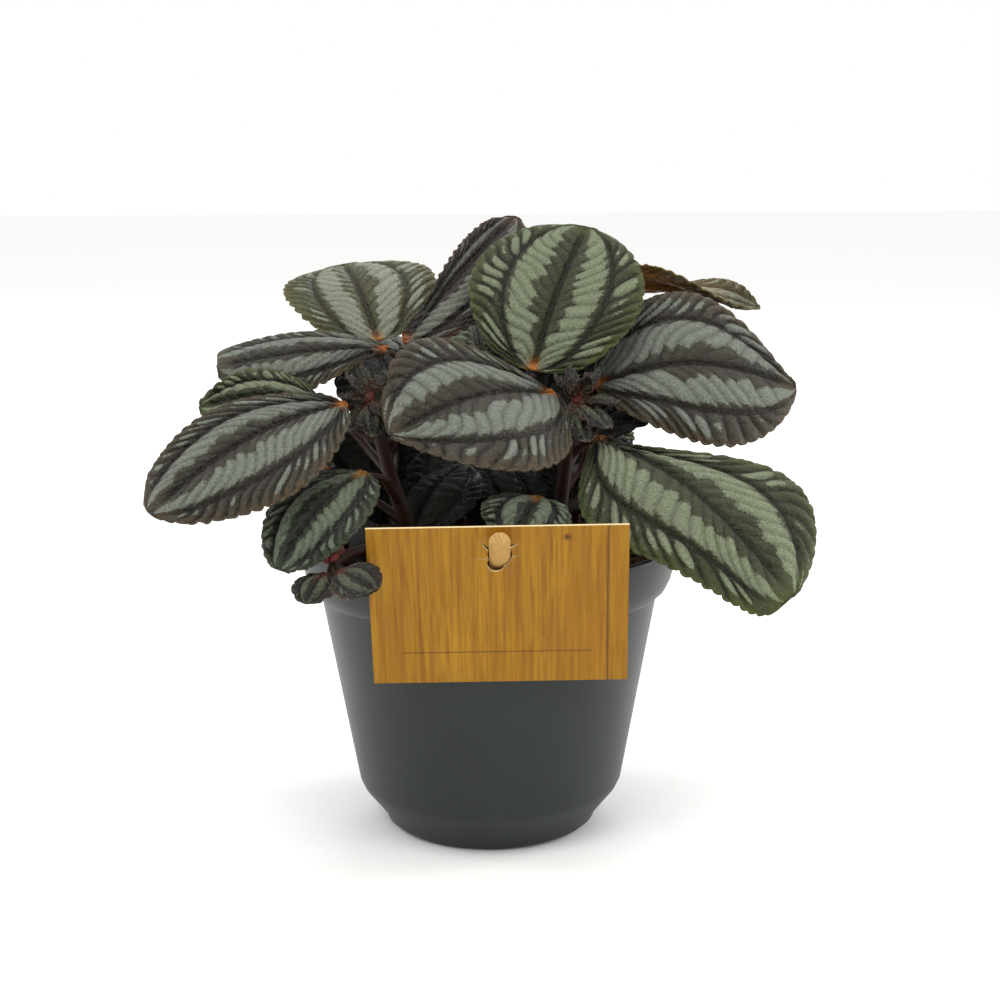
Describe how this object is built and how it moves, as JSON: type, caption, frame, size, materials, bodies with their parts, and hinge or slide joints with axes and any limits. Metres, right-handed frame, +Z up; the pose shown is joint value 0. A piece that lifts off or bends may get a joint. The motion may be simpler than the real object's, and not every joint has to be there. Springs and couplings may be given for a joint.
{
  "type": "potted friendship plant",
  "caption": "Friendship plant (Pilea) with quilted, silver-banded leaves in a round nursery pot of soil, with a printed card hung on a wooden peg.",
  "frame": {"origin": "centre of the pot's base, on the surface that the pot stands on", "axes": "+Z up, -Y towards the card on the front of the pot, +X to the right seen from the front"},
  "size_m": [0.1971, 0.1684, 0.1885],
  "materials": {
    "pot_plastic": "satin",
    "soil": "rough",
    "printed_card": "printed",
    "peg_wood": "bare",
    "stem_right": "satin",
    "stem_left": "satin",
    "stem_rear": "satin",
    "stem_shoot": "satin",
    "heart_right": "hairy",
    "heart_left": "hairy",
    "shoot_buds": "satin",
    "leaf_right_back": "quilted",
    "leaf_right_front": "quilted",
    "leaf_right_inward": "quilted",
    "leaf_right_outward": "quilted",
    "leaf_right_low_front": "quilted",
    "leaf_right_low_side": "quilted",
    "leaf_right_rear": "quilted",
    "leaf_right_low_rear": "quilted",
    "leaf_right_inside": "quilted",
    "leaf_left_back": "quilted",
    "leaf_left_rear": "quilted",
    "leaf_left_outward": "quilted",
    "leaf_left_side": "quilted",
    "leaf_left_front": "quilted",
    "leaf_left_low": "quilted",
    "leaf_left_inner": "quilted",
    "leaf_left_low_rear": "quilted",
    "leaf_left_low_side": "quilted",
    "leaf_left_inside": "quilted",
    "leaf_rear_low_middle": "quilted",
    "leaf_rear_right": "quilted",
    "leaf_rear_out": "quilted",
    "leaf_rear_middle": "quilted",
    "leaf_rear_left": "quilted",
    "leaf_rear_low_right": "quilted",
    "leaf_rear_low_left": "quilted",
    "leaf_rear_inside": "quilted",
    "leaf_shoot_left": "quilted",
    "leaf_shoot_right": "quilted"
  },
  "bodies": {
    "root": {"pot": "pot_plastic", "soil": "soil", "card": "printed_card", "peg": "peg_wood", "stem_right": "stem_right", "stem_left": "stem_left", "stem_rear": "stem_rear", "stem_shoot": "stem_shoot", "heart_right": "heart_right", "heart_left": "heart_left", "shoot_buds": "shoot_buds", "leaf_right_back": "leaf_right_back", "leaf_right_front": "leaf_right_front", "leaf_right_inward": "leaf_right_inward", "leaf_right_outward": "leaf_right_outward", "leaf_right_low_front": "leaf_right_low_front", "leaf_right_low_side": "leaf_right_low_side", "leaf_right_rear": "leaf_right_rear", "leaf_right_low_rear": "leaf_right_low_rear", "leaf_right_inside": "leaf_right_inside", "leaf_left_back": "leaf_left_back", "leaf_left_rear": "leaf_left_rear", "leaf_left_outward": "leaf_left_outward", "leaf_left_side": "leaf_left_side", "leaf_left_front": "leaf_left_front", "leaf_left_low": "leaf_left_low", "leaf_left_inner": "leaf_left_inner", "leaf_left_low_rear": "leaf_left_low_rear", "leaf_left_low_side": "leaf_left_low_side", "leaf_left_inside": "leaf_left_inside", "leaf_rear_low_middle": "leaf_rear_low_middle", "leaf_rear_right": "leaf_rear_right", "leaf_rear_out": "leaf_rear_out", "leaf_rear_middle": "leaf_rear_middle", "leaf_rear_left": "leaf_rear_left", "leaf_rear_low_right": "leaf_rear_low_right", "leaf_rear_low_left": "leaf_rear_low_left", "leaf_rear_inside": "leaf_rear_inside", "leaf_shoot_left": "leaf_shoot_left", "leaf_shoot_right": "leaf_shoot_right"}
  },
  "joints": []
}
